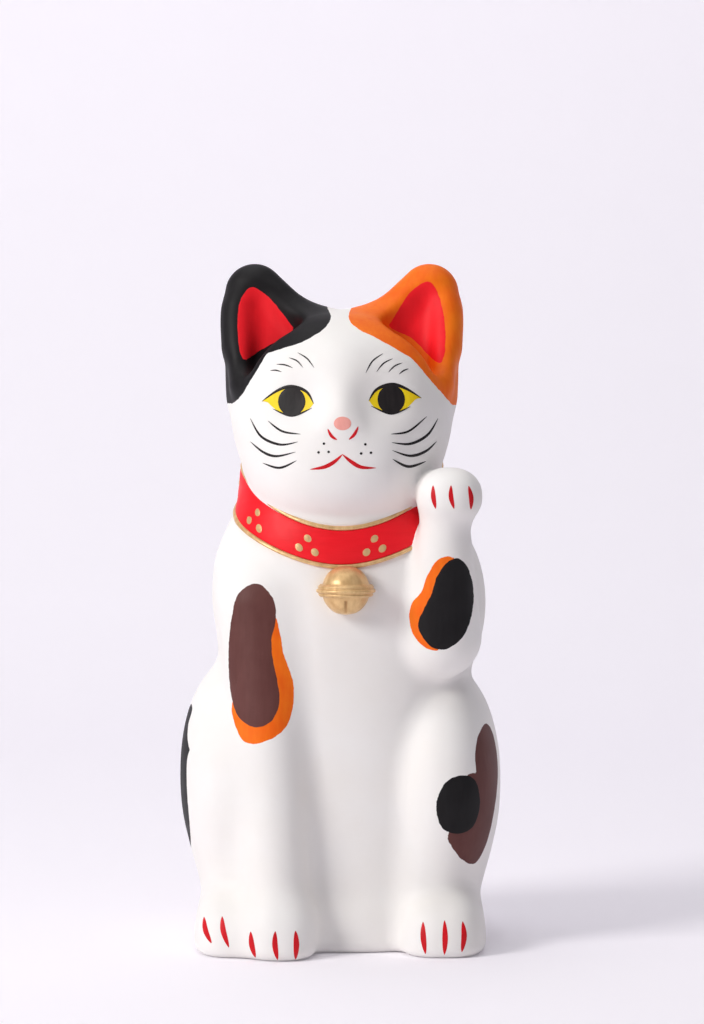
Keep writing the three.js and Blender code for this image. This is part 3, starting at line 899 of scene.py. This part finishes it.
CLAWS = [
    [(35.0, 15.6), (35.1, 9), (36.0, 2.2)],
    [(44.2, 16.4), (44.4, 9), (44.1, 2.0)],
    [(52.0, 15.8), (52.6, 9.5), (51.6, 3.0)],
    [(-59.4, 16.8), (-58.6, 11.5), (-56.0, 6.6)],
    [(-51.4, 17.9), (-50.8, 12), (-48.4, 5.2)],
    [(-38.9, 12.6), (-38.4, 7), (-36.9, 1.6)],
    [(-28.3, 13.4), (-28.4, 7.5), (-27.3, 1.0)],
    [(-19.7, 13.4), (-19.3, 7.5), (-19.7, 1.0)],
    [(39.1, 203.4), (39.2, 198.5), (40.2, 193.6)],
    [(46.7, 203.5), (46.7, 198.5), (48.0, 193.6)],
    [(54.3, 203.2), (55.4, 198.2), (55.3, 193.2)],
]
joined("claw_lines", [line(points, 2.4 if points[0][1] < 100 else 2.0) for points in CLAWS], RED_INK)


# ------------------------------------------------------------------ collar

NECK_Y = -8
COLLAR_HALF = 9.2
COLLAR_FRONT_Z = 176.5
COLLAR_RISE = 25.5
CORD = 0.95


def neck_point(bearing, radius, lift):
    """The collar hangs low in front of the neck and rises behind it."""
    hang = 0.7 * (1 - np.cos(bearing)) + 0.3 * np.sin(bearing) ** 2
    height = COLLAR_FRONT_Z + COLLAR_RISE * hang + lift
    return np.stack([radius * np.sin(bearing), NECK_Y - radius * np.cos(bearing), height], -1)


def neck_radius(bearing, lift):
    inner, outer = np.full(len(bearing), 5.0), np.full(len(bearing), 90.0)
    for _ in range(26):
        middle = (inner + outer) / 2
        within = torso(tuple(neck_point(bearing, middle, lift).T)) < 0
        inner, outer = np.where(within, middle, inner), np.where(within, outer, middle)
    return inner


def collar_section():
    """Outline of the band and its two raised edges: (out, lift, part of the section)."""
    h = COLLAR_HALF
    cord = [(CORD * (0.75 + math.cos(a)), CORD * math.sin(a)) for a in np.linspace(-1.9, 1.9, 11)]
    section = [(-2.5, -h, 0)]
    section += [(out, -h + CORD + up, 1) for out, up in cord]
    section += [(1.25, -h + 2 * CORD + 0.25, 0), (1.45, -h + 3.2, 0), (1.6, 0, 0), (1.45, h - 3.2, 0),
                (1.25, h - 2 * CORD - 0.25, 0)]
    section += [(out, h - CORD + up, 1) for out, up in cord]
    section += [(-2.5, h, 0)]
    return section


def collar():
    section = collar_section()
    steps = 300
    bearing = 2 * math.pi * np.arange(steps) / steps
    rings = [neck_point(bearing, neck_radius(bearing, np.full(steps, lift)) + out, lift)
             for out, lift, _ in section]
    points = np.stack(rings, 1).reshape(-1, 3)
    n = len(section)
    faces, parts = [], []
    for i in range(steps):
        for j in range(n):
            a, b = i * n + j, i * n + (j + 1) % n
            c, d = ((i + 1) % steps) * n + (j + 1) % n, ((i + 1) % steps) * n + j
            faces.append((a, d, c, b))
            parts.append(section[j][2] * section[(j + 1) % n][2])
    obj = mesh_object("collar_band", points, faces)
    obj.data.materials.append(COLLAR_RED)
    obj.data.materials.append(GOLD)
    obj.data.polygons.foreach_set("material_index", parts)
    cutter = mesh_object("cutter", *skin(boxed(whole, (-62, -80, 150), (78, 50, 240)),
                                         (-66, -84, 146), (82, 54, 244), BODY_CELL))
    carve(obj, cutter)
    drop(cutter)
    obj.data.shade_smooth()
    obj.data.set_sharp_from_angle(angle=math.radians(40))
    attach(obj, "figure")
    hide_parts("collar")
    return obj


def on_collar(centre_bearing):
    """Lays points on the band's face: across and up from a bearing at its middle."""
    turn = np.array([math.radians(centre_bearing)])
    reach = neck_radius(turn, 0.0)[0] + 1.5

    def at(bearing, lift):
        return neck_point(bearing, neck_radius(bearing, lift) + 1.52, lift)

    def lay(across, up):
        bearing = turn + across / reach
        place = at(bearing, up)
        normal = np.cross(at(bearing + 0.01, up) - place, at(bearing, up + 0.2) - place)
        return place, normal / np.linalg.norm(normal, axis=1, keepdims=True)
    return lay


DOT_TRIPLET = ((0.1, 1.8), (-3.5, -3.1), (3.4, -3.3))
DOT_RADIUS = 1.65
DOT_CROWN = 0.9  # radius of the thicker middle of each dot

collar()
beads = []
for bearing_of_dots in (-55, -20.5, 19.5, 56, 92, 128, 164, 200, 236, 271):
    lay = on_collar(bearing_of_dots)
    for across, up in DOT_TRIPLET:
        beads.append(dab((across, up), DOT_RADIUS, DOT_RADIUS, lay))
        beads.append(dab((across, up), DOT_CROWN, DOT_CROWN, lay, thick=OVER))
joined("collar_dots", beads, GOLD)


# ------------------------------------------------------------------ turned pieces

def rounded(outline, radius, steps=5):
    """Outline with each inner corner turned on an arc."""
    out = [outline[0]]
    for before, at, after in zip(outline, outline[1:], outline[2:]):
        a, b, c = (np.array(v, float) for v in (before, at, after))
        to_a, to_c = (a - b) / np.linalg.norm(a - b), (c - b) / np.linalg.norm(c - b)
        reach = min(radius, np.linalg.norm(a - b) * 0.45, np.linalg.norm(c - b) * 0.45)
        for t in np.linspace(0, 1, steps):
            out.append(tuple((1 - t)**2 * (b + to_a * reach) + 2 * t * (1 - t) * b
                             + t**2 * (b + to_c * reach)))
    return out + [outline[-1]]


def turned(name, outline, centre, steps=96):
    """Closed turned solid about +Z; the outline starts and ends on the axis."""
    rim = outline[1:-1]
    angle = 2 * math.pi * np.arange(steps) / steps
    points = [np.stack([r * np.cos(angle), r * np.sin(angle), np.full(steps, z)], 1) for r, z in rim]
    points = np.vstack(points + [[(0, 0, outline[0][1])], [(0, 0, outline[-1][1])]])
    faces = []
    for ring in range(len(rim) - 1):
        for i in range(steps):
            j = (i + 1) % steps
            here, above = ring * steps, (ring + 1) * steps
            faces.append((here + i, here + j, above + j, above + i))
    bottom, top = len(rim) * steps, len(rim) * steps + 1
    for i in range(steps):
        j = (i + 1) % steps
        faces.append((bottom, j, i))
        faces.append((top, (len(rim) - 1) * steps + i, (len(rim) - 1) * steps + j))
    return mesh_object(name, points + np.array(centre), faces)


BELL = (1.8, -51.5, 158.2)  # centre
SLIT_HALF = 0.6


def bell():
    """Round bell: two domes that flare into a belt, with an upright slit below it."""
    top = [(0, 10.5), (4.2, 9.8), (7.4, 7.7), (9.2, 5.0), (9.9, 3.2), (10.4, 2.5), (11.2, 2.6),
           (12.0, 1.7), (11.9, 0.9), (12.7, 0.4)]
    low = [(12.7, -0.6), (11.8, -1.1), (11.8, -1.9), (11.0, -2.6), (10.3, -2.6), (9.8, -3.3),
           (9.1, -5.0), (7.2, -7.6), (4.2, -9.7), (0, -10.5)]
    outline = spline(top + low, closed=False, steps=5)[::-1]
    obj = turned("round_bell", outline, BELL, 128)
    slit = block("slit", (BELL[0] - SLIT_HALF, -80, 140), (BELL[0] + SLIT_HALF, -56, 154.3))
    carve(obj, slit)
    drop(slit)
    cutter = mesh_object("cutter", *skin(boxed(whole, (-16, -70, 140), (20, -30, 175)),
                                         (-19, -73, 137), (23, -27, 178), 1.0))
    carve(obj, cutter)
    drop(cutter)
    soften = obj.modifiers.new("soften", "BEVEL")
    soften.width = 0.25 * MM
    soften.segments = 2
    soften.limit_method = "ANGLE"
    soften.angle_limit = math.radians(50)
    baked(obj)
    obj.data.shade_smooth()
    obj.data.set_sharp_from_angle(angle=math.radians(45))
    obj.data.materials.clear()
    obj.data.materials.append(GOLD)
    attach(obj, "figure")
    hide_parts("bell")


bell()


# ------------------------------------------------------------------ base

SLAB = (4.0, 9.0)
HOLE = 16.0


def slab_field(p):
    d = smooth_max(hollow(p) + 0.3, np.abs(p[2] - sum(SLAB) / 2) - (SLAB[1] - SLAB[0]) / 2, 1.0)
    return smooth_max(d, HOLE - np.hypot(p[0], p[1]), 1.2)


def base_slab():
    obj = mesh_object("clay_slab", *skin(slab_field, (-72, -70, 1), (72, 70, 12), 1.2))
    obj.data.shade_smooth()
    obj.data.materials.append(BARE)
    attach(obj, "figure")
    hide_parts("base_slab")


def base_stopper():
    plug = HOLE - 0.3
    flange = HOLE + 3.4
    outline = [(0, 2.6), (plug - 4.2, 2.6), (plug - 3.2, 1.0), (flange - 0.4, 1.0), (flange, 1.6),
               (flange, 3.3), (plug, 3.7), (plug, 9.0), (plug - 1.9, 15.0), (0, 15.0)]
    obj = turned("rubber_stopper", rounded(outline, 0.7), (0, 0, 0))
    bar = block("bar", (-12.2, -1.5, 1.1), (12.2, 1.5, 3.6))
    edge = bar.modifiers.new("edge", "BEVEL")
    edge.width = 0.5 * MM
    edge.segments = 3
    baked(bar)
    carve(obj, bar, "UNION")
    drop(bar)
    obj.data.shade_smooth()
    obj.data.set_sharp_from_angle(angle=math.radians(50))
    obj.data.materials.clear()
    obj.data.materials.append(RUBBER)
    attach(obj, "stopper")
    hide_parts("base_stopper")


base_slab()
base_stopper()


# ------------------------------------------------------------------ studio

def see_through_from_behind(nodes, links, surface):
    """Hides the paper from behind and below, so that the figure can be looked at from there."""
    clear = nodes.new("ShaderNodeBsdfTransparent")
    either = nodes.new("ShaderNodeMixShader")
    links.new(nodes.new("ShaderNodeNewGeometry").outputs["Backfacing"], either.inputs["Fac"])
    links.new(surface.outputs["BSDF"], either.inputs[1])
    links.new(clear.outputs["BSDF"], either.inputs[2])
    links.new(either.outputs["Shader"], nodes["Material Output"].inputs["Surface"])


def studio():
    """Pale sweep of paper behind and under the figure."""
    depth = [(-3.0, 0), (0.9, 0)] + [(0.9 + 0.6 * math.sin(a), 0.6 - 0.6 * math.cos(a))
                                     for a in np.linspace(0.1, math.pi / 2, 10)] + [(1.5, 3.0)]
    points, faces = [], []
    for y, z in depth:
        points += [(-3, y, z), (3, y, z)]
    for i in range(len(depth) - 1):
        faces.append((2 * i, 2 * i + 1, 2 * i + 3, 2 * i + 2))
    mesh = bpy.data.meshes.new("sweep")
    mesh.from_pydata(points, [], faces)
    mesh.shade_smooth()
    sweep = bpy.data.objects.new("sweep", mesh)
    bpy.context.scene.collection.objects.link(sweep)
    material, nodes, links, out = shader("paper")
    out.inputs["Base Color"].default_value = (0.93, 0.90, 0.95, 1)
    out.inputs["Roughness"].default_value = 0.9
    place = nodes.new("ShaderNodeTexCoord").outputs["Object"]
    split = node(nodes, links, "ShaderNodeSeparateXYZ", {0: place})
    # Painted light: the paper glows, weakly on the floor near the figure and more strongly towards the
    # back wall, in place of lamps lighting the backdrop.
    out.inputs["Emission Color"].default_value = (0.97, 0.94, 1.0, 1)
    painted_backdrop_light = ramp(nodes, links, split.outputs[1], 0.1, 1.2, 0.06, 0.17)
    links.new(painted_backdrop_light, out.inputs["Emission Strength"])
    see_through_from_behind(nodes, links, out)
    mesh.materials.append(material)


def area_light(name, place, target, size, energy, colour=(1, 1, 1)):
    data = bpy.data.lights.new(name, "AREA")
    data.size = size
    data.energy = energy
    data.color = colour
    light = bpy.data.objects.new(name, data)
    light.location = place
    light.rotation_euler = (Vector(target) - Vector(place)).to_track_quat("-Z", "Y").to_euler()
    bpy.context.scene.collection.objects.link(light)


def camera():
    distance = 1.5
    eye_height = 0.240
    aim_height = 0.1902
    across = 0.00444
    data = bpy.data.cameras.new("camera")
    data.sensor_width = 36
    data.lens = 118.7
    cam = bpy.data.objects.new("camera", data)
    cam.location = (across, -distance, eye_height)
    aim = Vector((across, 0, aim_height)) - cam.location
    cam.rotation_euler = aim.to_track_quat("-Z", "Y").to_euler()
    bpy.context.scene.collection.objects.link(cam)
    bpy.context.scene.camera = cam


studio()
centre = (0, 0, 0.15)
area_light("key", (-1.6, -1.25, 1.15), centre, 0.8, 32, (1.0, 0.985, 0.965))
area_light("top", (-0.1, -0.1, 1.7), centre, 1.4, 11)
area_light("fill", (1.6, -1.3, 0.5), centre, 1.4, 0.6, (1.0, 0.96, 0.94))
world = bpy.data.worlds.new("world")
world.use_nodes = True
world.node_tree.nodes["Background"].inputs["Color"].default_value = (0.93, 0.92, 1.0, 1)
world.node_tree.nodes["Background"].inputs["Strength"].default_value = 0.23
bpy.context.scene.world = world
bpy.context.scene.view_settings.view_transform = "Standard"
camera()
